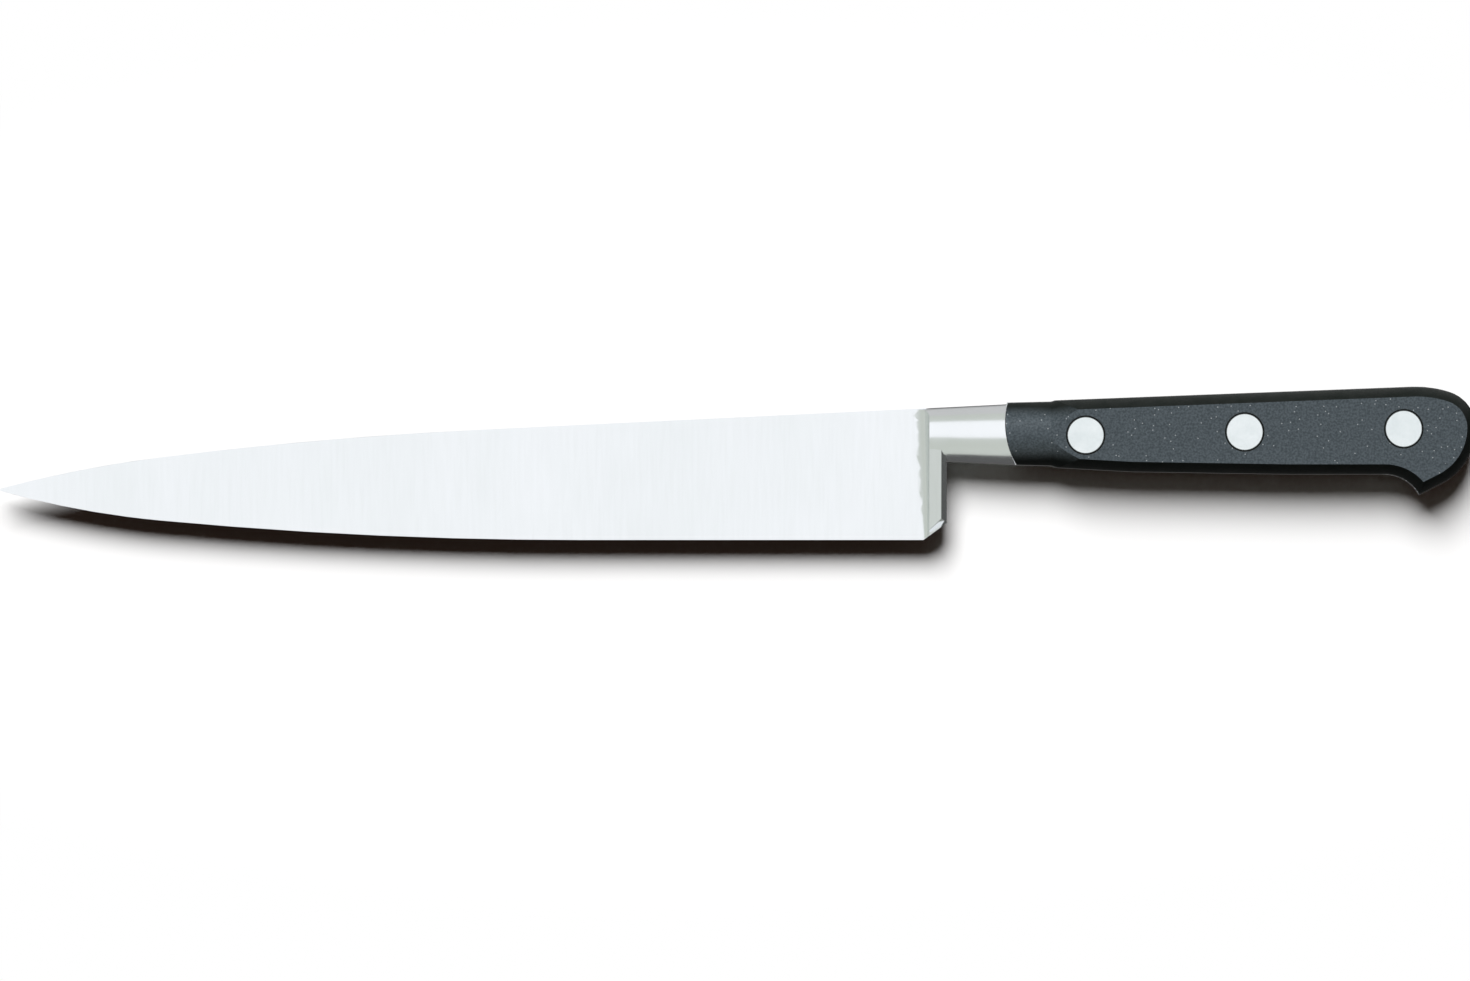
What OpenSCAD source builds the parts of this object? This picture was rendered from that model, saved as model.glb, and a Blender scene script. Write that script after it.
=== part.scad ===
// Carving knife with a forged slicing blade, a full tang and two riveted scales.
// The knife lies on its right side: X runs from tip to butt, Y points to the
// spine and Z points away from the table. All sizes are in millimetres.
// Each piece is drawn about the heel (x = 0), the straight cutting edge (y = 0)
// and the middle plane of the blade (z = 0), and place() then sets it in the frame.

/* [Blade] */
// Length of the blade from heel to tip
blade_length = 200; // [190:1:210]
// Height of the spine above the cutting edge, at the heel
blade_height = 28.42; // [27.5:0.1:29.5]
// Fall of the straight stretch of the spine towards the tip, in degrees
spine_fall = 2.75; // [2.2:0.05:3]
// Distance from the heel to the end of the straight stretch of the spine
spine_straight = 96; // [90:1:105]
// Distance from the heel to the point where both curves tighten towards the tip
tip_start = 165; // [160:1:170]
// Radius of the long curve of the spine
spine_radius = 900; // [800:10:1000]
// Radius of the last curve of the spine, at the tip
spine_tip_radius = 260; // [240:5:300]
// Length of the straight stretch of the cutting edge
edge_straight = 74; // [60:1:85]
// Radius of the long curve of the cutting edge
edge_radius = 980; // [900:10:1100]
// Radius of the last curve of the cutting edge, at the tip
edge_tip_radius = 195; // [190:5:215]
// Thickness of the spine at the heel
spine_thickness = 2.6; // [2.2:0.1:3]
// Thickness of the cutting edge at the heel
edge_thickness = 0.4; // [0.35:0.05:0.6]
// Loss of thickness towards the tip, for each millimetre of length
tip_taper = 0.0026; // [0.0020:0.0002:0.0028]

/* [Bolster and collar] */
// Distance from the heel to the front wall of the bolster
bolster_front = 1.2; // [1:0.1:1.6]
// Width of the flat face of the bolster, from its front wall to its rear chamfer
bolster_face = 2.6; // [2.2:0.1:3.2]
// Width of the chamfer behind the face of the bolster
bolster_chamfer = 1.2; // [0.8:0.1:1.4]
// Thickness of the bolster at the cutting edge
bolster_thickness = 3; // [2.8:0.1:3.6]
// Growth of half the thickness of the bolster, for each millimetre of height
bolster_growth = 0.17; // [0.14:0.01:0.19]
// Radius of the hollow ramp in front of the bolster, at the cutting edge
ramp_edge_radius = 1.3; // [1.1:0.1:1.5]
// Radius of the hollow ramp in front of the bolster, at the spine
ramp_spine_radius = 3.3; // [2.8:0.1:3.6]
// Height of the cut-off corner of the heel where it meets the chamfer
heel_corner = 2.8; // [2:0.1:3.5]
// Width of the small facet along the cut-off corner
heel_facet = 0.7; // [0.4:0.1:1]
// Height of the axis of the collar above the cutting edge
collar_axis = 22.77; // [22.5:0.05:23]
// Diameter of the collar at the heel
collar_front_diameter = 11.34; // [10.8:0.1:11.6]
// Diameter of the collar where the scales start
collar_rear_diameter = 13.1; // [12.6:0.1:13.4]
// Depth of the two flat facets ground under the collar
collar_facet_depth = 0.3; // [0.15:0.05:0.45]
// Turn of these facets from the underside, in degrees
collar_facet_turn = 23; // [20:1:26]

/* [Handle] */
// Distance from the heel to the foremost point of the scales
scale_front = 17.5; // [16.5:0.5:19]
// Radius of the curved joint between collar and scales, seen from the side
joint_radius = 18.6; // [17:0.2:21]
// Height of the foremost point of the joint above the cutting edge
joint_height = 25.3; // [24.5:0.1:26]
// Open line between the collar and each scale
joint_gap = 0.15; // [0.1:0.05:0.3]
// Distance from the heel to the end of the butt
butt_end = 119.4; // [117:0.2:122]
// Thickness of the handle between its two flat sides
handle_thickness = 14; // [13.6:0.1:14.4]
// Thickness of the tang between the scales
tang_thickness = 2.8; // [2:0.1:3.2]
// Height of the back of the handle at the heel, before the nose is rounded
back_height = 29.1; // [28.9:0.05:29.6]
// Rise of the back of the handle towards the butt, in degrees
back_rise = 2.2; // [1.9:0.05:2.4]
// Height of the level stretch of the belly above the cutting edge
belly_height = 14.15; // [13.6:0.05:14.5]
// Distance from the heel to the front end of the level belly
belly_level_start = 79; // [74:1:84]
// Distance from the heel to the point where the belly turns up to the nose
belly_turn = 45; // [42:1:50]
// Slope of the middle stretch of the belly, in degrees
belly_mid_slope = 0.9; // [0.6:0.1:1.2]
// Slope of the belly below the nose, in degrees
belly_nose_slope = 3.1; // [2.6:0.1:3.4]
// Radius of the crown between the back and the corner of the butt
crown_radius = 23.8; // [20:0.2:28]
// Radius of the upper corner of the butt
corner_radius = 8.2; // [7.4:0.2:9]
// Radius of the butt below its rearmost point
butt_radius = 13.4; // [12.4:0.2:14.4]
// Direction in which the crown runs into the corner, in degrees
crown_end = 72; // [66:1:78]
// Direction in which the lower end of the butt faces, in degrees
beak_facing = -63.3; // [-66:0.1:-61]
// Radius of the hollow in front of the beak
beak_radius = 8.64; // [8:0.1:9.4]
// Distance from the butt end to the middle of this hollow
beak_setback = 19.9; // [19:0.1:20.6]
// Width of the rounded band along the edges of the flat sides
band_width = 2.2; // [1.8:0.1:2.6]

/* [Nose of the handle] */
// Height of the axis of the round nose above the cutting edge
nose_axis = 22.93; // [22.7:0.05:23.1]
// Diameter of the round nose at the joint
nose_front_diameter = 13.5; // [13.4:0.05:13.7]
// Distance from the heel to the point where the nose starts to flare
nose_length = 27.5; // [25:0.5:29]
// Flare of the nose behind this point, in degrees
nose_flare = 17; // [14:1:20]

/* [Rivets] */
// Diameter of the heads
rivet_head_diameter = 7.94; // [7:0.1:8.4]
// Depth of the heads
rivet_head_depth = 2.2; // [1.6:0.1:2.8]
// Diameter of the sleeves
rivet_sleeve_diameter = 4.8; // [4.4:0.1:5.2]
// Diameter of the pins
rivet_pin_diameter = 3.1; // [2.6:0.1:3.4]
// Clearance around each head in its counterbore, on the radius
rivet_head_clearance = 0.25; // [0.15:0.05:0.35]
// Clearance around each sleeve in the scales and the tang, on the radius
rivet_hole_clearance = 0.2; // [0.1:0.05:0.3]
// Clearance around each pin in its sleeve, on the radius
rivet_pin_clearance = 0.05; // [0.04:0.01:0.1]
// Distance from the heel to the front rivet
rivet_front = 34.9; // [33.5:0.1:36]
// Distance from one rivet to the next
rivet_pitch = 34.3; // [33.5:0.1:34.6]
// Height of the front rivet above the cutting edge
rivet_height = 22.63; // [22:0.1:23.2]
// Rise of the row of rivets towards the butt, in degrees
rivet_rise = 1.15; // [0.8:0.05:1.4]

/* [Hidden] */
// Facets of a full turn on small and on long curves
$fn = 96;
long_fn = 1440;
// Overlap that lets a cut run past the faces that it opens
past = 1;
// Play of one cut into another surface, so that the two meet in a clean line
bite = 0.02;

// Blade, halves of its thicknesses and slopes of its flanks
flank_foot = edge_thickness / 2;
flank_slope = (spine_thickness - edge_thickness) / 2 / blade_height;
flank_taper = tip_taper / 2;
// Blade, length by which a long curve runs on outside the tighter tip curve
curve_lap = 15;
// Blade, end of the part of its outline that stands inside the bolster
blade_root = bolster_front / 2;
// Blade, slope of the cutting edge and of the spine where the tip curves start
edge_turn = asin((tip_start - edge_straight) / edge_radius);
spine_turn = spine_fall + asin((tip_start - spine_straight) / spine_radius);
// Blade, centres of the four curves of its outline
edge_centre = [-edge_straight, edge_radius];
edge_join = edge_centre + edge_radius * [-sin(edge_turn), -cos(edge_turn)];
edge_tip_centre = edge_join + edge_tip_radius * [sin(edge_turn), cos(edge_turn)];
spine_end = [-spine_straight, blade_height - spine_straight * tan(spine_fall)];
spine_centre = spine_end + spine_radius * [sin(spine_fall), -cos(spine_fall)];
spine_join = spine_centre + spine_radius * [-sin(spine_turn), cos(spine_turn)];
spine_tip_centre = spine_join + spine_tip_radius * [sin(spine_turn), -cos(spine_turn)];

// Bolster, heights and places of its faces
collar_front_radius = collar_front_diameter / 2;
collar_rear_radius = collar_rear_diameter / 2;
collar_length = scale_front + 4;
collar_cone = atan((collar_rear_radius - collar_front_radius) / scale_front);
bolster_face_end = bolster_front + bolster_face;
bolster_rear = bolster_face_end + bolster_chamfer;
heel_slope = atan(heel_corner / bolster_face_end);
ramp_foot_x = bolster_front - ramp_edge_radius;
ramp_top_x = bolster_front - ramp_spine_radius;
ramp_foot_z = flank_foot + ramp_edge_radius;
ramp_top_z = spine_thickness / 2 + ramp_spine_radius;

// Handle, half its thickness and the radius of the rounded bands at its edges
handle_half = handle_thickness / 2;
tang_half = tang_thickness / 2;
band_radius = (band_width * band_width + handle_half * handle_half) / 2 / band_width;
band_depth = band_width + 0.6;
band_half = handle_half + 0.4;
band_reach = 9;
// Handle, centres of the curves of the butt and of the beak
corner_x = butt_end - corner_radius;
crown_x = corner_x - (crown_radius - corner_radius) * cos(crown_end);
crown_y = back_height + crown_x * tan(back_rise) - crown_radius / cos(back_rise);
corner_y = crown_y + (crown_radius - corner_radius) * sin(crown_end);
butt_x = butt_end - butt_radius;
// Handle, turn and length by which a band runs on outside the tighter one
butt_lap = 4;
band_lap = 5;
beak_x = butt_end - beak_setback;
beak_y = belly_height - beak_radius;
// Handle, heights of the belly where its slope changes
belly_turn_height = belly_height + (belly_level_start - belly_turn) * tan(belly_mid_slope);
belly_nose_height = belly_turn_height + belly_turn * tan(belly_nose_slope);
// Handle, radii of the nose and the place where its flare has left the handle
nose_front_radius = nose_front_diameter / 2;
nose_clear_radius = 13;
nose_clear_x = nose_length + (nose_clear_radius - handle_half) / tan(nose_flare);
joint_x = scale_front + joint_radius;

// Rivets, levels of the undersides of the heads and of the inner ends
head_level = handle_half - rivet_head_depth;
sleeve_end = head_level - 1;
pin_end = sleeve_end - 0.6;
sleeve_bore = rivet_pin_diameter / 2 + rivet_pin_clearance;
hole_radius = rivet_sleeve_diameter / 2 + rivet_hole_clearance;
counterbore_radius = rivet_head_diameter / 2 + rivet_head_clearance;

// Placing, middle of the overall box in X and Y
top_height = crown_y + crown_radius;
box_x = (butt_end - blade_length) / 2;
box_y = top_height / 2;

// Colours
steel = [0.86, 0.87, 0.87];
plastic = [0.13, 0.14, 0.15];
rivet_steel = [0.92, 0.93, 0.93];

// Sets a piece in the shared frame, with the right side of the handle on z = 0
module place() {
    translate([-box_x, -box_y, handle_half])
    children();
}

// Draws the children on both sides of the middle plane
module both_sides() {
    children();
    mirror([0, 0, 1])
    children();
}

// Outline of the blade seen from the side, with the tip at the left
module blade_outline() {
    far = blade_length + past;
    difference() {
        polygon([
            [-blade_length, 0],
            [0, 0],
            [blade_root, blade_root * tan(heel_slope)],
            [blade_root, blade_height],
            [0, blade_height],
            [-blade_length, blade_height - blade_length * tan(spine_fall)]
        ]);
        difference() {
            translate([spine_join[0] - curve_lap, 0])
            square([spine_end[0] - spine_join[0] + curve_lap, blade_height + past]);
            translate(spine_centre)
            circle(r = spine_radius, $fn = long_fn);
        }
        difference() {
            translate([-far, 0])
            square([far + spine_join[0], blade_height + past]);
            translate(spine_tip_centre)
            circle(r = spine_tip_radius, $fn = long_fn);
        }
        difference() {
            translate([edge_join[0] - curve_lap, -past])
            square([edge_centre[0] - edge_join[0] + curve_lap, blade_height / 2]);
            translate(edge_centre)
            circle(r = edge_radius, $fn = long_fn);
        }
        difference() {
            translate([-far, -past])
            square([far + edge_join[0], blade_height / 2]);
            translate(edge_tip_centre)
            circle(r = edge_tip_radius, $fn = long_fn);
        }
    }
}

// Everything above the upper flank of the blade
module above_flank() {
    wide = 2 * blade_length + 2 * blade_height;
    translate([0, 0, flank_foot])
    rotate([atan(flank_slope), -atan(flank_taper), 0])
    translate([-wide / 2, -wide / 2, 0])
    cube([wide, wide, spine_thickness * 3]);
}

// Blade, ground to a wedge
module blade_blank() {
    difference() {
        linear_extrude(height = 2 * spine_thickness, center = true)
        blade_outline();
        both_sides()
        above_flank();
    }
}

// Outline of the bolster below the collar
module bolster_outline() {
    polygon([
        [ramp_foot_x, 0],
        [0, 0],
        [bolster_rear, bolster_rear * tan(heel_slope)],
        [bolster_rear, collar_axis],
        [ramp_top_x, collar_axis]
    ]);
}

// Everything above the flat face of the bolster, which thickens upwards
module above_bolster_face() {
    translate([0, 0, bolster_thickness / 2])
    rotate([atan(bolster_growth), 0, 0])
    translate([-blade_height, -blade_height, 0])
    cube([2 * blade_height, 3 * blade_height, blade_height]);
}

// Everything behind the chamfer at the rear of the bolster
module behind_chamfer() {
    translate([bolster_face_end, 0, bolster_thickness / 2])
    rotate([atan(bolster_growth), 0, 0])
    rotate([0, 45, 0])
    translate([0, -blade_height, 0])
    cube([blade_height, 3 * blade_height, blade_height]);
}

// Everything beyond the small facet along the cut-off corner of the heel
module beyond_heel_facet() {
    rotate([0, 0, heel_slope])
    translate([0, heel_facet, bolster_thickness / 2])
    rotate([-45, 0, 0])
    translate([-blade_height, -blade_height, 0])
    cube([2 * blade_height, blade_height, blade_height]);
}

// Collar as a cone about the axis of the handle, with facets below
module collar_blank() {
    translate([0, collar_axis, 0])
    difference() {
        translate([-ramp_spine_radius, 0, 0])
        rotate([0, 90, 0])
        cylinder(
            h = collar_length + ramp_spine_radius,
            r1 = collar_front_radius - ramp_spine_radius * tan(collar_cone),
            r2 = collar_front_radius + collar_length * tan(collar_cone)
        );
        both_sides()
        rotate([collar_facet_turn, 0, 0])
        translate([0, -collar_front_radius + collar_facet_depth, 0])
        rotate([0, 0, -collar_cone])
        translate([bolster_rear, -collar_length, -collar_length])
        cube([2 * collar_length, collar_length, 2 * collar_length]);
    }
}

// Hollow ramp that runs from the flank up to the front wall of the bolster
module ramp_cut() {
    foot = [ramp_foot_x, 0, ramp_foot_z];
    run = [ramp_top_x, blade_height, ramp_top_z] - foot;
    over = past / blade_height;
    start = foot - over * run;
    reach = (1 + 2 * over) * norm(run);
    growth = (ramp_spine_radius - ramp_edge_radius) * over;
    translate(start)
    rotate([0, acos(run[2] / norm(run)), atan2(run[1], run[0])])
    cylinder(
        h = reach,
        r1 = ramp_edge_radius - growth + bite,
        r2 = ramp_spine_radius + growth + bite
    );
    translate([-2 * ramp_spine_radius, 0, 0])
    rotate([90, 0, 90])
    linear_extrude(height = 2 * ramp_spine_radius + bolster_front)
    polygon([
        [-past, start[2]],
        [blade_height + past, start[2] + (1 + 2 * over) * run[2]],
        [blade_height + past, handle_thickness],
        [-past, handle_thickness]
    ]);
}

// Side view of the space behind the joint between collar and scales
module behind_joint(gap) {
    translate([joint_x, joint_height])
    circle(r = joint_radius - gap, $fn = 4 * $fn);
    translate([joint_x, -past])
    square([butt_end, blade_height * 2]);
}

// Heel of the bolster, below the collar
module bolster_heel() {
    difference() {
        linear_extrude(height = handle_thickness, center = true)
        bolster_outline();
        both_sides() {
            above_bolster_face();
            behind_chamfer();
            beyond_heel_facet();
        }
    }
}

// Collar, cut off at the ramp and at the joint with the scales
module collar() {
    difference() {
        collar_blank();
        linear_extrude(height = 2 * handle_thickness, center = true)
        polygon([
            [ramp_foot_x, 0],
            [2 * ramp_top_x - ramp_foot_x, 2 * blade_height],
            [-blade_height, 2 * blade_height],
            [-blade_height, 0]
        ]);
        linear_extrude(height = 2 * handle_thickness, center = true)
        behind_joint(0);
    }
}

// Section of the rounded band along the handle, with x pointing outwards
module band_section() {
    difference() {
        translate([-band_depth, -band_half])
        square([band_depth + band_reach, 2 * band_half]);
        translate([-band_radius, 0])
        circle(r = band_radius);
    }
}

// Band cut along a straight stretch that starts at a point and runs at an angle
module straight_band(from, angle, length) {
    translate([from[0], from[1], 0])
    rotate([0, 0, angle])
    rotate([90, 0, 90])
    linear_extrude(height = length)
    band_section();
}

// Band cut along an outward curve, between two directions
module curved_band(centre, radius, first, last) {
    translate([centre[0], centre[1], 0])
    rotate([0, 0, first])
    rotate_extrude(angle = last - first, $fn = 4 * $fn)
    translate([radius, 0])
    band_section();
}

// Hollow in front of the beak, with its rounded band
module beak_hollow() {
    translate([beak_x, beak_y, 0])
    rotate_extrude($fn = 2 * $fn)
    difference() {
        translate([0, -band_half])
        square([beak_radius + band_depth, 2 * band_half]);
        translate([beak_radius + band_radius, 0])
        circle(r = band_radius);
    }
}

// Handle blank before its edges are rounded, a little larger than the handle
module handle_blank() {
    linear_extrude(height = handle_thickness, center = true)
    polygon([
        [scale_front - past, belly_nose_height - past * 3],
        [belly_turn, belly_turn_height - past],
        [belly_level_start, belly_height - past],
        [beak_x, belly_height - past],
        [beak_x + beak_radius / 2, beak_y],
        [butt_end - corner_radius, beak_y],
        [butt_end + past, corner_y - corner_radius],
        [butt_end + past, top_height + past],
        [scale_front - past, back_height + past]
    ]);
}

// Round nose of the handle, which flares out behind the collar
module nose_envelope() {
    translate([0, nose_axis, 0])
    rotate([0, 90, 0])
    rotate_extrude()
    polygon([
        [0, scale_front - past],
        [nose_front_radius, scale_front - past],
        [handle_half, nose_length],
        [nose_clear_radius, nose_clear_x],
        [blade_height, nose_clear_x],
        [blade_height, butt_end + 2 * past],
        [0, butt_end + 2 * past]
    ]);
}

// Handle as ground in one go over the scales, the tang and the rivets
module ground_handle() {
    difference() {
        intersection() {
            handle_blank();
            nose_envelope();
        }
        straight_band(
            [0, back_height],
            back_rise,
            (crown_x - crown_radius * sin(back_rise)) / cos(back_rise) + band_lap
        );
        curved_band(
            [crown_x, crown_y],
            crown_radius,
            crown_end - butt_lap,
            90 + back_rise
        );
        curved_band([corner_x, corner_y], corner_radius, 0, crown_end);
        curved_band([butt_x, corner_y], butt_radius, beak_facing, butt_lap);
        straight_band(
            [butt_x, corner_y]
                + butt_radius * [cos(beak_facing), sin(beak_facing)]
                - band_lap / 2 * [sin(beak_facing), -cos(beak_facing)],
            beak_facing - 90,
            butt_radius + band_lap / 2
        );
        beak_hollow();
        straight_band(
            [beak_x, belly_height],
            180,
            beak_x - belly_level_start + past
        );
        straight_band(
            [belly_level_start, belly_height],
            180 - belly_mid_slope,
            belly_level_start - belly_turn + past
        );
        straight_band(
            [belly_turn, belly_turn_height],
            180 - belly_nose_slope,
            belly_turn - scale_front + past
        );
    }
}

// Places the children at one rivet, counted from the front
module at_rivet(index) {
    translate([
        rivet_front + index * rivet_pitch,
        rivet_height + index * rivet_pitch * tan(rivet_rise),
        0
    ])
    children();
}

// Steel forging: blade, bolster, collar and full tang
module forged_blade() {
    color(steel)
    place()
    difference() {
        union() {
            difference() {
                union() {
                    blade_blank();
                    bolster_heel();
                    collar();
                }
                both_sides()
                ramp_cut();
            }
            translate([bolster_rear, collar_axis - collar_front_radius / 2, -tang_half])
            cube([2 * scale_front - bolster_rear, collar_front_radius, tang_thickness]);
            intersection() {
                ground_handle();
                linear_extrude(height = tang_thickness, center = true)
                behind_joint(0);
            }
        }
        for (index = [0:2])
        at_rivet(index)
        cylinder(h = 2 * tang_thickness, r = hole_radius, center = true);
    }
}

// One scale, above the middle plane, bored and counterbored for the rivets
module scale_half() {
    difference() {
        intersection() {
            ground_handle();
            translate([0, 0, tang_half])
            linear_extrude(height = handle_thickness)
            behind_joint(joint_gap);
        }
        for (index = [0:2])
        at_rivet(index) {
            cylinder(h = handle_thickness, r = hole_radius);
            translate([0, 0, head_level])
            cylinder(h = handle_thickness, r = counterbore_radius);
        }
    }
}

// Scale on the left side of the knife, which faces up
module left_scale() {
    color(plastic)
    place()
    scale_half();
}

// Scale on the right side of the knife, which rests on the table
module right_scale() {
    color(plastic)
    place()
    mirror([0, 0, 1])
    scale_half();
}

// Solid half of a rivet, with its head flush in the left scale
module rivet_pin(index) {
    color(rivet_steel)
    place()
    at_rivet(index)
    union() {
        translate([0, 0, head_level])
        cylinder(h = rivet_head_depth, d = rivet_head_diameter);
        translate([0, 0, -pin_end])
        cylinder(h = pin_end + head_level, d = rivet_pin_diameter);
    }
}

// Hollow half of a rivet, with its head flush in the right scale
module rivet_sleeve(index) {
    color(rivet_steel)
    place()
    at_rivet(index)
    difference() {
        union() {
            translate([0, 0, -handle_half])
            cylinder(h = rivet_head_depth, d = rivet_head_diameter);
            translate([0, 0, -head_level])
            cylinder(h = head_level + sleeve_end, d = rivet_sleeve_diameter);
        }
        translate([0, 0, -head_level])
        cylinder(h = handle_thickness, r = sleeve_bore);
    }
}

module rivet_pin_front() {
    rivet_pin(0);
}

module rivet_pin_middle() {
    rivet_pin(1);
}

module rivet_pin_rear() {
    rivet_pin(2);
}

module rivet_sleeve_front() {
    rivet_sleeve(0);
}

module rivet_sleeve_middle() {
    rivet_sleeve(1);
}

module rivet_sleeve_rear() {
    rivet_sleeve(2);
}

forged_blade();
left_scale();
right_scale();
rivet_pin_front();
rivet_pin_middle();
rivet_pin_rear();
rivet_sleeve_front();
rivet_sleeve_middle();
rivet_sleeve_rear();
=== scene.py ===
# %% [markdown]
# # A forged carving knife
# The knife lies on its right side on white paper, seen from straight above.
# Its solids come ready made from the CAD frame: the forging with its full
# tang, two black scales and three rivets. Their shapes are right as they are,
# so this notebook gives them their finishes and sets up the light.
# Everything is in metres: X runs from tip to butt, Y towards the spine and
# Z up towards the camera.

# %% Load the frame
import math

import bpy
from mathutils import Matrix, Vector


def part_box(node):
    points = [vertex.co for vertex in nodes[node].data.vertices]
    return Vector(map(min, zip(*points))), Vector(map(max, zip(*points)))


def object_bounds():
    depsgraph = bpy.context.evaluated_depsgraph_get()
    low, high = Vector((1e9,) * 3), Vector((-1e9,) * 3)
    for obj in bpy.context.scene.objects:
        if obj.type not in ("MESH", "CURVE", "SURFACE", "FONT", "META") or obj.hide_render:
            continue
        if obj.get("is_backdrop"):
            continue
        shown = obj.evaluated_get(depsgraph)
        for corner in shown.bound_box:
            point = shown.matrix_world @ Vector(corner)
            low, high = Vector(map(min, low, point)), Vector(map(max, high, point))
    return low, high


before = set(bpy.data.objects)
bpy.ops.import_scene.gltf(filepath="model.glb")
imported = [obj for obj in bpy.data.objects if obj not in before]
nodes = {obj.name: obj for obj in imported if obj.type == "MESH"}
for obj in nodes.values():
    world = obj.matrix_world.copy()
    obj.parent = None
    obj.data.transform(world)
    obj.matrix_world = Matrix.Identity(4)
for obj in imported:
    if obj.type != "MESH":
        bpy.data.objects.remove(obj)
cad_low, cad_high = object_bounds()
print("nodes:", sorted(nodes))
print("box of the knife:", [round(v * 1000, 1) for v in cad_high - cad_low], "mm")

# %% [markdown]
# ## The camera
# The photograph shows the knife square from the side, so the camera hangs
# straight above it. It could be orthographic, but a long lens keeps a trace of
# the real perspective. The distance follows from the width that the picture
# spans at the level of the blade.

# %% Camera
MM = 0.001
PICTURE_WIDTH = 1470
PICTURE_HEIGHT = 981
PIXEL = 0.2161 * MM
HEEL_COLUMN = 923.5
EDGE_ROW = 540.0
LENS = 400.0
SENSOR = 36.0
BUTT_END = 119.4 * MM

heel_x = cad_high.x - BUTT_END
edge_y = cad_low.y
mid_z = (cad_low.z + cad_high.z) / 2

look_at = Vector((
    heel_x + (PICTURE_WIDTH / 2 - HEEL_COLUMN) * PIXEL,
    edge_y + (EDGE_ROW - PICTURE_HEIGHT / 2) * PIXEL,
    mid_z,
))
distance = PICTURE_WIDTH * PIXEL * LENS / SENSOR

camera_data = bpy.data.cameras.new("camera")
camera_data.lens = LENS
camera_data.sensor_width = SENSOR
camera_data.clip_end = 20
camera = bpy.data.objects.new("camera", camera_data)
bpy.context.collection.objects.link(camera)
camera.location = look_at + Vector((0, 0, distance))
bpy.context.scene.camera = camera
print("camera height:", round(camera.location.z, 3), "m")

# %% [markdown]
# ## White paper
# The knife lies on a sheet of white paper. A plane much larger than the
# picture is enough, since nothing of its borders shows.

# %% Floor
bpy.ops.object.select_all(action="DESELECT")
bpy.ops.mesh.primitive_plane_add(size=4.0, location=(0, 0, cad_low.z))
floor = bpy.context.object
floor.name = "floor"
floor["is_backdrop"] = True
print("floor:", [round(v, 2) for v in floor.dimensions], "m")

# %% [markdown]
# ## What the paper looks like
# Near the knife the paper is a diffuse sheet that takes the shadow. Far from
# it the sheet turns into pure white by itself, in a long oval around the
# knife, so that the picture has no grey corners.

# %% Paper
PAPER_WHITE = 0.86
FADE_START = 0.19
FADE_END = 0.26
paper = bpy.data.materials.new("paper")
paper.use_nodes = True
tree = paper.node_tree
tree.nodes.clear()
output = tree.nodes.new("ShaderNodeOutputMaterial")
sheet = tree.nodes.new("ShaderNodeBsdfDiffuse")
sheet.inputs["Color"].default_value = (PAPER_WHITE, PAPER_WHITE, PAPER_WHITE, 1)
glow = tree.nodes.new("ShaderNodeEmission")
glow.inputs["Color"].default_value = (1, 1, 1, 1)
place = tree.nodes.new("ShaderNodeTexCoord")
squeeze = tree.nodes.new("ShaderNodeVectorMath")
squeeze.operation = "MULTIPLY"
squeeze.inputs[1].default_value = (1.0, 2.6, 1.0)
reach = tree.nodes.new("ShaderNodeVectorMath")
reach.operation = "LENGTH"
fade = tree.nodes.new("ShaderNodeMapRange")
fade.interpolation_type = "SMOOTHSTEP"
fade.inputs["From Min"].default_value = FADE_START
fade.inputs["From Max"].default_value = FADE_END
seen_paper = tree.nodes.new("ShaderNodeMixShader")
tree.links.new(place.outputs["Object"], squeeze.inputs[0])
tree.links.new(squeeze.outputs[0], reach.inputs[0])
tree.links.new(reach.outputs["Value"], fade.inputs["Value"])
tree.links.new(fade.outputs["Result"], seen_paper.inputs["Fac"])
tree.links.new(sheet.outputs[0], seen_paper.inputs[1])
tree.links.new(glow.outputs[0], seen_paper.inputs[2])
floor.data.materials.append(paper)
print("paper turns white from", FADE_START, "to", FADE_END, "m")

# %% [markdown]
# ## The paper in mirrored rays
# The photo's steel shows dark undersides, so in mirrored rays the paper is
# dim on the side of the knife's own shadow and grey on the side of the lamp.
# Light that has already been scattered once sees nothing of this, or it would
# come back from the steel and fill the shadow.

# %% Mirrored paper
DIM_SIDE = 0.11
LAMP_SIDE = 0.62
path = tree.nodes.new("ShaderNodeLightPath")
across = tree.nodes.new("ShaderNodeSeparateXYZ")
lamp_side = tree.nodes.new("ShaderNodeMapRange")
lamp_side.inputs["From Min"].default_value = 0.014
lamp_side.inputs["From Max"].default_value = 0.021
lamp_side.inputs["To Min"].default_value = DIM_SIDE
lamp_side.inputs["To Max"].default_value = LAMP_SIDE
first_look = tree.nodes.new("ShaderNodeMath")
first_look.operation = "LESS_THAN"
first_look.inputs[1].default_value = 0.5
level = tree.nodes.new("ShaderNodeMath")
level.operation = "MULTIPLY"
dim = tree.nodes.new("ShaderNodeEmission")
mirrored = tree.nodes.new("ShaderNodeMixShader")
tree.links.new(place.outputs["Object"], across.inputs[0])
tree.links.new(across.outputs["Y"], lamp_side.inputs["Value"])
tree.links.new(path.outputs["Diffuse Depth"], first_look.inputs[0])
tree.links.new(first_look.outputs[0], level.inputs[0])
tree.links.new(lamp_side.outputs["Result"], level.inputs[1])
tree.links.new(level.outputs[0], dim.inputs["Strength"])
tree.links.new(path.outputs["Is Glossy Ray"], mirrored.inputs["Fac"])
tree.links.new(seen_paper.outputs[0], mirrored.inputs[1])
tree.links.new(dim.outputs[0], mirrored.inputs[2])
tree.links.new(mirrored.outputs[0], output.inputs["Surface"])
print("mirrored paper goes from", DIM_SIDE, "to", LAMP_SIDE)

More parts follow.
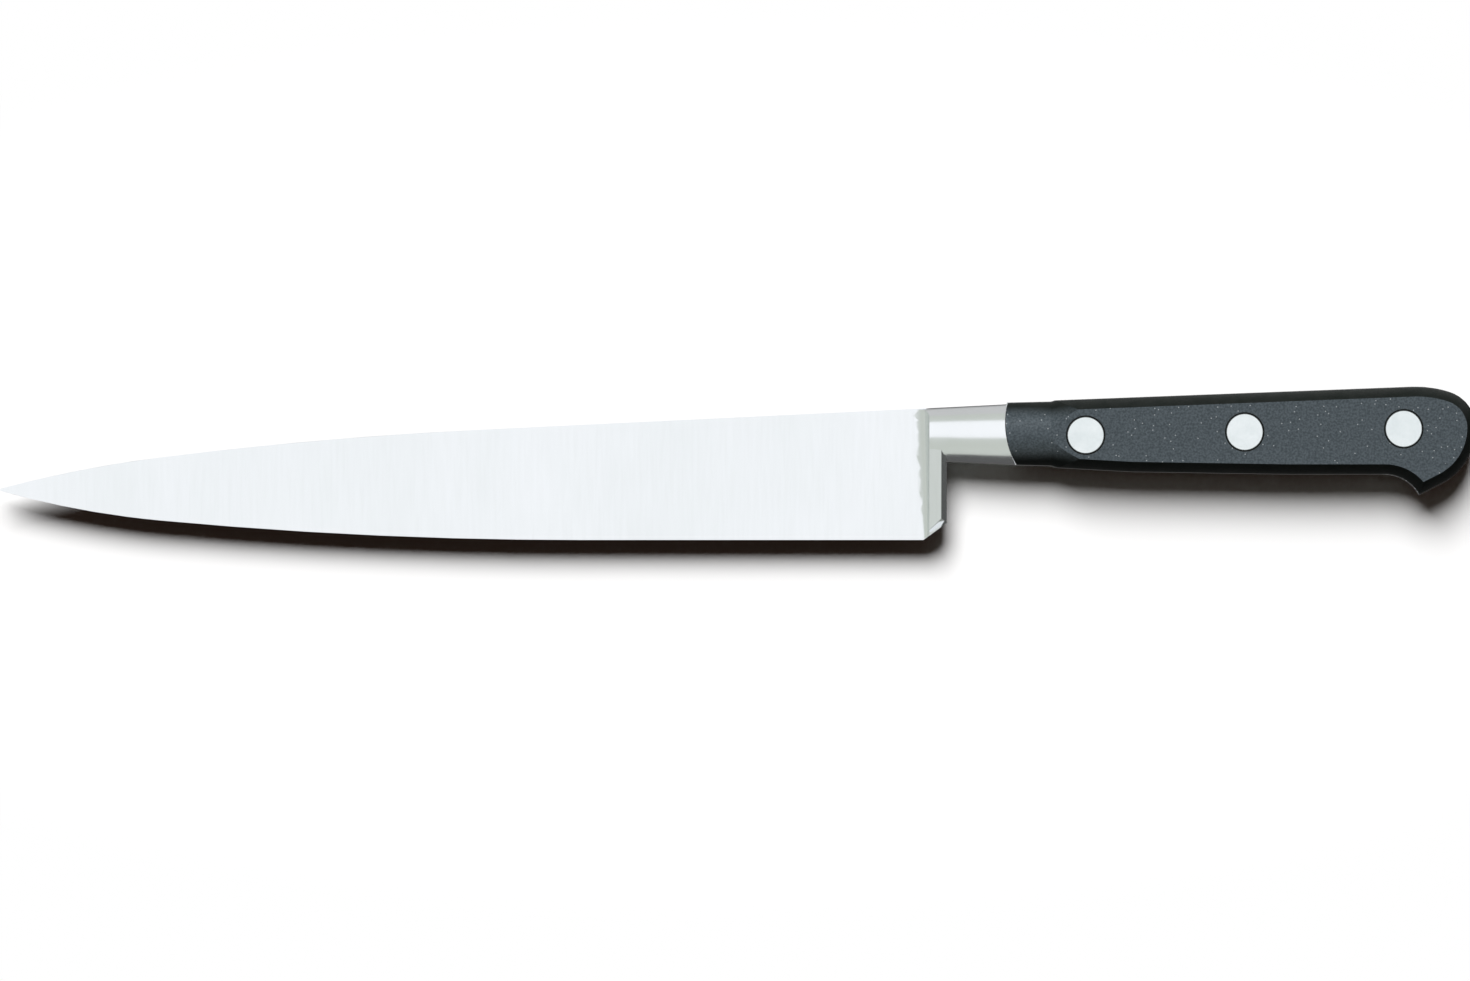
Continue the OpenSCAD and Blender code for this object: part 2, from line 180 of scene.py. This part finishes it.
# %% [markdown]
# ## A light from the top of the picture
# The shadow falls down and is short and soft, so one broad sun stands high
# above the upper edge of the picture. A lamp of small size would draw a hard
# line. The steel doesn't mirror the lamp itself: the studio below does that.

# %% Lamp
SUN_HEIGHT = math.radians(52)
SUN_SIDE = math.radians(12)
SUN_STRENGTH = 4.75
sun_data = bpy.data.lights.new("key_light", "SUN")
sun_data.energy = SUN_STRENGTH
sun_data.angle = math.radians(33)
sun = bpy.data.objects.new("key_light", sun_data)
bpy.context.collection.objects.link(sun)
to_sun = Vector((
    -math.cos(SUN_HEIGHT) * math.sin(SUN_SIDE),
    math.cos(SUN_HEIGHT) * math.cos(SUN_SIDE),
    math.sin(SUN_HEIGHT),
))
sun.rotation_euler = to_sun.to_track_quat("Z", "Y").to_euler()
sun.location = to_sun
sun.visible_glossy = False
print("paper shows:", round(PAPER_WHITE * SUN_STRENGTH * math.sin(SUN_HEIGHT) / math.pi, 2))

# %% [markdown]
# ## What the steel mirrors
# Steel shows its surroundings. In a studio that is a broad bright panel above
# the knife that leans to the top of the picture, a greyer room around it and
# a dark wall beyond the handle. The world draws them, but only for mirrored
# rays: the bands on the round collar in the photo tell how wide the panel is.
# All other light from the world is a faint warm glow that keeps the shadow
# brownish instead of black, and the camera itself sees white.

# %% Studio in mirrored rays
PANEL_LEAN = math.radians(22)
world = bpy.data.worlds.new("studio")
bpy.context.scene.world = world
world.use_nodes = True
tree = world.node_tree
tree.nodes.clear()
way = tree.nodes.new("ShaderNodeTexCoord")
toward = tree.nodes.new("ShaderNodeVectorMath")
toward.operation = "DOT_PRODUCT"
toward.inputs[1].default_value = (0, math.sin(PANEL_LEAN), math.cos(PANEL_LEAN))
panel = tree.nodes.new("ShaderNodeValToRGB")
panel.color_ramp.elements[0].position = 0.0
panel.color_ramp.elements[0].color = (0.62, 0.65, 0.60, 1)
panel.color_ramp.elements[1].position = 0.45
panel.color_ramp.elements[1].color = (0.60, 0.63, 0.58, 1)
rim = panel.color_ramp.elements.new(0.79)
rim.color = (0.62, 0.65, 0.61, 1)
lit = panel.color_ramp.elements.new(0.83)
lit.color = (1.06, 1.07, 1.09, 1)
side = tree.nodes.new("ShaderNodeSeparateXYZ")
wall = tree.nodes.new("ShaderNodeMapRange")
wall.interpolation_type = "SMOOTHSTEP"
wall.inputs["From Min"].default_value = 0.45
wall.inputs["From Max"].default_value = 0.85
wall.inputs["To Min"].default_value = 1.0
wall.inputs["To Max"].default_value = 0.12
room = tree.nodes.new("ShaderNodeBackground")
tree.links.new(way.outputs["Generated"], toward.inputs[0])
tree.links.new(toward.outputs["Value"], panel.inputs["Fac"])
tree.links.new(panel.outputs["Color"], room.inputs["Color"])
tree.links.new(way.outputs["Generated"], side.inputs[0])
tree.links.new(side.outputs["X"], wall.inputs["Value"])
tree.links.new(wall.outputs["Result"], room.inputs["Strength"])
print("panel leans:", round(math.degrees(PANEL_LEAN)), "degrees")

# %% [markdown]
# ## Which rays see what
# Two mixes choose between the three worlds by the kind of ray: the mirrored
# studio, the faint glow for scattered light, and plain white for the camera.

# %% World by kind of ray
SHADOW_GLOW = 0.022
soft = tree.nodes.new("ShaderNodeBackground")
soft.inputs["Color"].default_value = (1.0, 0.62, 0.46, 1)
soft.inputs["Strength"].default_value = SHADOW_GLOW
seen = tree.nodes.new("ShaderNodeBackground")
seen.inputs["Color"].default_value = (1, 1, 1, 1)
path = tree.nodes.new("ShaderNodeLightPath")
mirrored = tree.nodes.new("ShaderNodeMixShader")
straight = tree.nodes.new("ShaderNodeMixShader")
output = tree.nodes.new("ShaderNodeOutputWorld")
tree.links.new(path.outputs["Is Glossy Ray"], mirrored.inputs["Fac"])
tree.links.new(soft.outputs[0], mirrored.inputs[1])
tree.links.new(room.outputs[0], mirrored.inputs[2])
tree.links.new(path.outputs["Is Camera Ray"], straight.inputs["Fac"])
tree.links.new(mirrored.outputs[0], straight.inputs[1])
tree.links.new(seen.outputs[0], straight.inputs[2])
tree.links.new(straight.outputs[0], output.inputs["Surface"])
bpy.context.scene.view_settings.view_transform = "Standard"
print("glow in the shadow:", SHADOW_GLOW)

# %% [markdown]
# ## Shared effects as node groups
# A surface of one flat value looks like a drawing. Each effect that makes a
# surface real is a node group with its own inputs: grinding lines and grain,
# wide faint clouds, and scattered specks. They give values between 0 and 1,
# and each material decides what to do with them.

# %% Node groups
def new_group(name, inputs, outputs):
    """Empty node group with its sockets, its input node and its output node."""
    group = bpy.data.node_groups.new(name, "ShaderNodeTree")
    for label, kind, value in inputs:
        socket = group.interface.new_socket(label, in_out="INPUT", socket_type=kind)
        socket.default_value = value
    for label, kind in outputs:
        group.interface.new_socket(label, in_out="OUTPUT", socket_type=kind)
    start = group.nodes.new("NodeGroupInput")
    end = group.nodes.new("NodeGroupOutput")
    return group, start, end


def streaked_noise(name, detail):
    """Noise on object coordinates, stretched by its own scale on each axis."""
    group, start, end = new_group(
        name,
        [("Scale", "NodeSocketVector", (1, 1, 1))],
        [("Value", "NodeSocketFloat")],
    )
    place = group.nodes.new("ShaderNodeTexCoord")
    stretch = group.nodes.new("ShaderNodeVectorMath")
    stretch.operation = "MULTIPLY"
    noise = group.nodes.new("ShaderNodeTexNoise")
    noise.inputs["Scale"].default_value = 1.0
    noise.inputs["Detail"].default_value = detail
    group.links.new(place.outputs["Object"], stretch.inputs[0])
    group.links.new(start.outputs["Scale"], stretch.inputs[1])
    group.links.new(stretch.outputs[0], noise.inputs["Vector"])
    group.links.new(noise.outputs["Fac"], end.inputs["Value"])
    return group


def pit_mask(name):
    """A few scattered spots: 1 in the middle of a spot and 0 between them."""
    group, start, end = new_group(
        name,
        [("Density", "NodeSocketFloat", 900.0), ("Size", "NodeSocketFloat", 0.12)],
        [("Mask", "NodeSocketFloat")],
    )
    place = group.nodes.new("ShaderNodeTexCoord")
    cells = group.nodes.new("ShaderNodeTexVoronoi")
    cells.voronoi_dimensions = "2D"
    few = group.nodes.new("ShaderNodeTexWhiteNoise")
    chosen = group.nodes.new("ShaderNodeMath")
    chosen.operation = "GREATER_THAN"
    chosen.inputs[1].default_value = 0.74
    near = group.nodes.new("ShaderNodeMath")
    near.operation = "LESS_THAN"
    both = group.nodes.new("ShaderNodeMath")
    both.operation = "MULTIPLY"
    group.links.new(place.outputs["Object"], cells.inputs["Vector"])
    group.links.new(start.outputs["Density"], cells.inputs["Scale"])
    group.links.new(cells.outputs["Position"], few.inputs["Vector"])
    group.links.new(few.outputs["Value"], chosen.inputs[0])
    group.links.new(cells.outputs["Distance"], near.inputs[0])
    group.links.new(start.outputs["Size"], near.inputs[1])
    group.links.new(chosen.outputs[0], both.inputs[0])
    group.links.new(near.outputs[0], both.inputs[1])
    group.links.new(both.outputs[0], end.inputs["Mask"])
    return group


grinding_lines = streaked_noise("grinding_lines", 4.0)
clouds = streaked_noise("clouds", 2.0)
pits = pit_mask("pits")
print("groups:", [g.name for g in bpy.data.node_groups])

# %% [markdown]
# ## Helpers for the materials
# Each finish starts from one Principled shader. The helpers below add a group
# with its values, turn a value into a colour between two shades, lay a colour
# over another one by a mask, and turn a value into a small relief.

# %% Material helpers
def new_finish(name, metallic, roughness):
    """Material with one Principled shader, its node tree and that shader."""
    material = bpy.data.materials.new(name)
    material.use_nodes = True
    shader = material.node_tree.nodes["Principled BSDF"]
    shader.inputs["Metallic"].default_value = metallic
    shader.inputs["Roughness"].default_value = roughness
    return material, material.node_tree, shader


def add_group(tree, group, **values):
    """Use a node group in a material, with its own values."""
    node = tree.nodes.new("ShaderNodeGroup")
    node.node_tree = group
    for label, value in values.items():
        node.inputs[label].default_value = value
    return node


def between(tree, value, low, high, start=0.0, end=1.0):
    """Colour ramp from low to high as the value goes from start to end."""
    ramp = tree.nodes.new("ShaderNodeValToRGB")
    ramp.color_ramp.elements[0].position = start
    ramp.color_ramp.elements[0].color = (*low, 1)
    ramp.color_ramp.elements[1].position = end
    ramp.color_ramp.elements[1].color = (*high, 1)
    tree.links.new(value, ramp.inputs["Fac"])
    return ramp.outputs["Color"]


def spread(tree, value, low, high):
    """Number from low to high as the value goes from 0.3 to 0.7."""
    node = tree.nodes.new("ShaderNodeMapRange")
    node.inputs["From Min"].default_value = 0.3
    node.inputs["From Max"].default_value = 0.7
    node.inputs["To Min"].default_value = low
    node.inputs["To Max"].default_value = high
    tree.links.new(value, node.inputs["Value"])
    return node.outputs["Result"]


def blend(tree, mask, shade, over):
    """Lay the plain colour over the shade where the mask is 1."""
    node = tree.nodes.new("ShaderNodeMix")
    node.data_type = "RGBA"
    node.inputs["B"].default_value = (*over, 1)
    tree.links.new(mask, node.inputs["Factor"])
    tree.links.new(shade, node.inputs["A"])
    return node.outputs["Result"]


def relief(tree, shader, height, depth, strength):
    """Let the height tilt the surface a little, without moving it."""
    bump = tree.nodes.new("ShaderNodeBump")
    bump.inputs["Distance"].default_value = depth
    bump.inputs["Strength"].default_value = strength
    tree.links.new(height, bump.inputs["Height"])
    tree.links.new(bump.outputs["Normal"], shader.inputs["Normal"])


print("helpers are ready")

# %% [markdown]
# ## Satin steel of the forging
# The blade is ground across its length and then brushed, which leaves very
# faint upright streaks. Its colour is a neutral, slightly cold white. Painted
# scratches would repeat, so the streaks are noise stretched along Y.

# %% Blade steel
blade_steel, tree, shader = new_finish("blade_steel", 1.0, 0.22)
lines = add_group(tree, grinding_lines, Scale=(1500.0, 90.0, 400.0))
cloud = add_group(tree, clouds, Scale=(60.0, 25.0, 60.0))
tree.links.new(
    between(tree, cloud.outputs["Value"], (0.835, 0.86, 0.87), (0.865, 0.885, 0.90), 0.3, 0.7),
    shader.inputs["Base Color"],
)
tree.links.new(spread(tree, lines.outputs["Value"], 0.19, 0.25), shader.inputs["Roughness"])
relief(tree, shader, lines.outputs["Value"], 0.001 * MM, 0.05)
print("made:", blade_steel.name)

# %% [markdown]
# ## Two masks for the handle
# The broad sides of the handle are sanded flat after the rivets are set, so they get another gloss
# than the moulded, rounded edges, and a painted sheen that makes them greyer. The mask for this looks
# at how far the surface leans from the flat: its normal's Z is 1 on the flat and falls towards the
# edges. A second mask draws a thin ring around each rivet head, for painted shade in the gap between
# head and scale.

# %% Masks
def sheen_and_sanding_mask(name):
    """1 on the flat sides, where painted sheen goes; 0 where the surface has turned away from them."""
    group, start, end = new_group(
        name,
        [("From", "NodeSocketFloat", 0.86), ("To", "NodeSocketFloat", 0.98)],
        [("Mask", "NodeSocketFloat")],
    )
    surface = group.nodes.new("ShaderNodeNewGeometry")
    parts = group.nodes.new("ShaderNodeSeparateXYZ")
    up = group.nodes.new("ShaderNodeMath")
    up.operation = "ABSOLUTE"
    turn = group.nodes.new("ShaderNodeMapRange")
    turn.interpolation_type = "SMOOTHSTEP"
    group.links.new(surface.outputs["Normal"], parts.inputs[0])
    group.links.new(parts.outputs["Z"], up.inputs[0])
    group.links.new(up.outputs[0], turn.inputs["Value"])
    group.links.new(start.outputs["From"], turn.inputs["From Min"])
    group.links.new(start.outputs["To"], turn.inputs["From Max"])
    group.links.new(turn.outputs["Result"], end.inputs["Mask"])
    return group


def ring_mask(name, centres):
    """1 within a band of distances around any of the centres, seen from above."""
    group, start, end = new_group(
        name,
        [("Inner", "NodeSocketFloat", 0.0), ("Outer", "NodeSocketFloat", 0.0)],
        [("Mask", "NodeSocketFloat")],
    )
    place = group.nodes.new("ShaderNodeTexCoord")
    level = group.nodes.new("ShaderNodeVectorMath")
    level.operation = "MULTIPLY"
    level.inputs[1].default_value = (1, 1, 0)
    group.links.new(place.outputs["Object"], level.inputs[0])
    nearest = None
    for centre in centres:
        away = group.nodes.new("ShaderNodeVectorMath")
        away.operation = "DISTANCE"
        away.inputs[1].default_value = (centre.x, centre.y, 0)
        group.links.new(level.outputs[0], away.inputs[0])
        if nearest is None:
            nearest = away.outputs["Value"]
            continue
        least = group.nodes.new("ShaderNodeMath")
        least.operation = "MINIMUM"
        group.links.new(nearest, least.inputs[0])
        group.links.new(away.outputs["Value"], least.inputs[1])
        nearest = least.outputs[0]
    outside = group.nodes.new("ShaderNodeMath")
    outside.operation = "GREATER_THAN"
    inside = group.nodes.new("ShaderNodeMath")
    inside.operation = "LESS_THAN"
    both = group.nodes.new("ShaderNodeMath")
    both.operation = "MULTIPLY"
    group.links.new(nearest, outside.inputs[0])
    group.links.new(start.outputs["Inner"], outside.inputs[1])
    group.links.new(nearest, inside.inputs[0])
    group.links.new(start.outputs["Outer"], inside.inputs[1])
    group.links.new(outside.outputs[0], both.inputs[0])
    group.links.new(inside.outputs[0], both.inputs[1])
    group.links.new(both.outputs[0], end.inputs["Mask"])
    return group


rivet_centres = []
for place_name in ("front", "middle", "rear"):
    low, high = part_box("rivet_pin_" + place_name)
    rivet_centres.append((low + high) / 2)
    head_radius = (high.x - low.x) / 2
sheen_and_sanding = sheen_and_sanding_mask("sheen_and_sanding_flat")
rings = ring_mask("painted_gap_shade_rings", rivet_centres)
print("rivets at x:", [round(c.x * 1000, 1) for c in rivet_centres], "mm")
print("head radius:", round(head_radius * 1000, 2), "mm")

# %% [markdown]
# ## Steel of the rivets
# The heads are ground flush together with the plastic around them. They have a finer, duller face than
# the blade, with almost no direction to it. Their rims are rounded over a little by the sanding; their
# darker colour is painted shade of that rounding and of the gap around the head.

# %% Rivet steel
RIM_WIDTH = 0.14 * MM
rivet_steel, tree, shader = new_finish("rivet_steel", 1.0, 0.34)
grain = add_group(tree, grinding_lines, Scale=(2600.0, 1500.0, 1500.0))
cloud = add_group(tree, clouds, Scale=(300.0, 300.0, 300.0))
rim = add_group(tree, rings, Inner=head_radius - RIM_WIDTH, Outer=head_radius + RIM_WIDTH)
face = between(tree, cloud.outputs["Value"], (0.78, 0.83, 0.84), (0.86, 0.90, 0.91), 0.3, 0.7)
# The dark rim of each head is painted shade.
tree.links.new(
    blend(tree, rim.outputs["Mask"], face, (0.10, 0.11, 0.11)),
    shader.inputs["Base Color"],
)
tree.links.new(spread(tree, grain.outputs["Value"], 0.28, 0.4), shader.inputs["Roughness"])
relief(tree, shader, grain.outputs["Value"], 0.003 * MM, 0.4)
print("made:", rivet_steel.name)

# %% [markdown]
# ## Black plastic of the scales
# Moulded black plastic shows as deep black on the rounded edges. On the sanded sides it gets another
# gloss and a painted sheen of slate grey, with a fine grain and a few light specks where filler shows.
# So the finish blends between two shades and two kinds of gloss with the sheen and sanding mask, then
# adds specks and the dark rings of painted gap shade. At the round nose the painted sheen and the
# sanding reach farther around.

# %% Scale plastic
RING_WIDTH = 0.3 * MM
NOSE_START = 22.0 * MM
NOSE_END = 48.0 * MM
scale_plastic, tree, shader = new_finish("scale_plastic", 0.0, 0.4)
flat = add_group(tree, sheen_and_sanding)
along = tree.nodes.new("ShaderNodeTexCoord")
station = tree.nodes.new("ShaderNodeSeparateXYZ")
tree.links.new(along.outputs["Object"], station.inputs[0])
# At the nose the painted sheen and the sanding reach farther around.
for label, at_nose, at_middle in (("From", 0.45, 0.88), ("To", 0.94, 0.975)):
    reach = tree.nodes.new("ShaderNodeMapRange")
    reach.inputs["From Min"].default_value = heel_x + NOSE_START
    reach.inputs["From Max"].default_value = heel_x + NOSE_END
    reach.inputs["To Min"].default_value = at_nose
    reach.inputs["To Max"].default_value = at_middle
    tree.links.new(station.outputs["X"], reach.inputs["Value"])
    tree.links.new(reach.outputs["Result"], flat.inputs[label])
grain = add_group(tree, grinding_lines, Scale=(2200.0, 2200.0, 2200.0))
cloud = add_group(tree, clouds, Scale=(420.0, 420.0, 420.0))
spots = add_group(tree, pits, Density=620.0, Size=0.075)
ring = add_group(tree, rings, Inner=0.0, Outer=head_radius + RING_WIDTH)
# The slate grey of the flat sides is painted sheen; the grain in it is real.
sheen_slate = between(tree, grain.outputs["Value"], (0.024, 0.033, 0.039), (0.060, 0.074, 0.084), 0.36, 0.64)
speckled = blend(tree, spots.outputs["Mask"], sheen_slate, (0.28, 0.30, 0.31))
black = between(tree, cloud.outputs["Value"], (0.005, 0.007, 0.006), (0.009, 0.011, 0.010), 0.3, 0.7)
handle_shade = tree.nodes.new("ShaderNodeMix")
handle_shade.data_type = "RGBA"
tree.links.new(flat.outputs["Mask"], handle_shade.inputs["Factor"])
tree.links.new(black, handle_shade.inputs["A"])
tree.links.new(speckled, handle_shade.inputs["B"])
# The dark colour inside each ring is painted shade in the gap around the rivet head.
tree.links.new(
    blend(tree, ring.outputs["Mask"], handle_shade.outputs["Result"], (0.006, 0.008, 0.007)),
    shader.inputs["Base Color"],
)
gloss = tree.nodes.new("ShaderNodeMapRange")
gloss.inputs["To Min"].default_value = 1.12
gloss.inputs["To Max"].default_value = 1.45
tree.links.new(flat.outputs["Mask"], gloss.inputs["Value"])
tree.links.new(gloss.outputs["Result"], shader.inputs["IOR"])
tree.links.new(spread(tree, grain.outputs["Value"], 0.36, 0.5), shader.inputs["Roughness"])
relief(tree, shader, grain.outputs["Value"], 0.02 * MM, 0.3)
print("made:", scale_plastic.name)

# %% [markdown]
# ## Finishes on the solids
# Each CAD solid keeps its shape and gets one finish. The names tell which:
# the forging, the two scales, and all that is left are halves of rivets.

# %% Put the finishes on the solids
for name, piece in nodes.items():
    finish = rivet_steel
    if name == "forged_blade":
        finish = blade_steel
    elif name.endswith("scale"):
        finish = scale_plastic
    for slot in piece.material_slots:
        slot.link = "OBJECT"
        slot.material = finish
print("finished:", {name: len(piece.material_slots) for name, piece in nodes.items()})

# %% [markdown]
# ## Sizes
# The dressing changes no shape, so the knife keeps the size of the CAD solids. Both boxes are printed,
# the first one when the frame is loaded.

# %% Print the sizes and finish
low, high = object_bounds()
print("box after dressing:", [round(v * 1000, 1) for v in high - low], "mm")
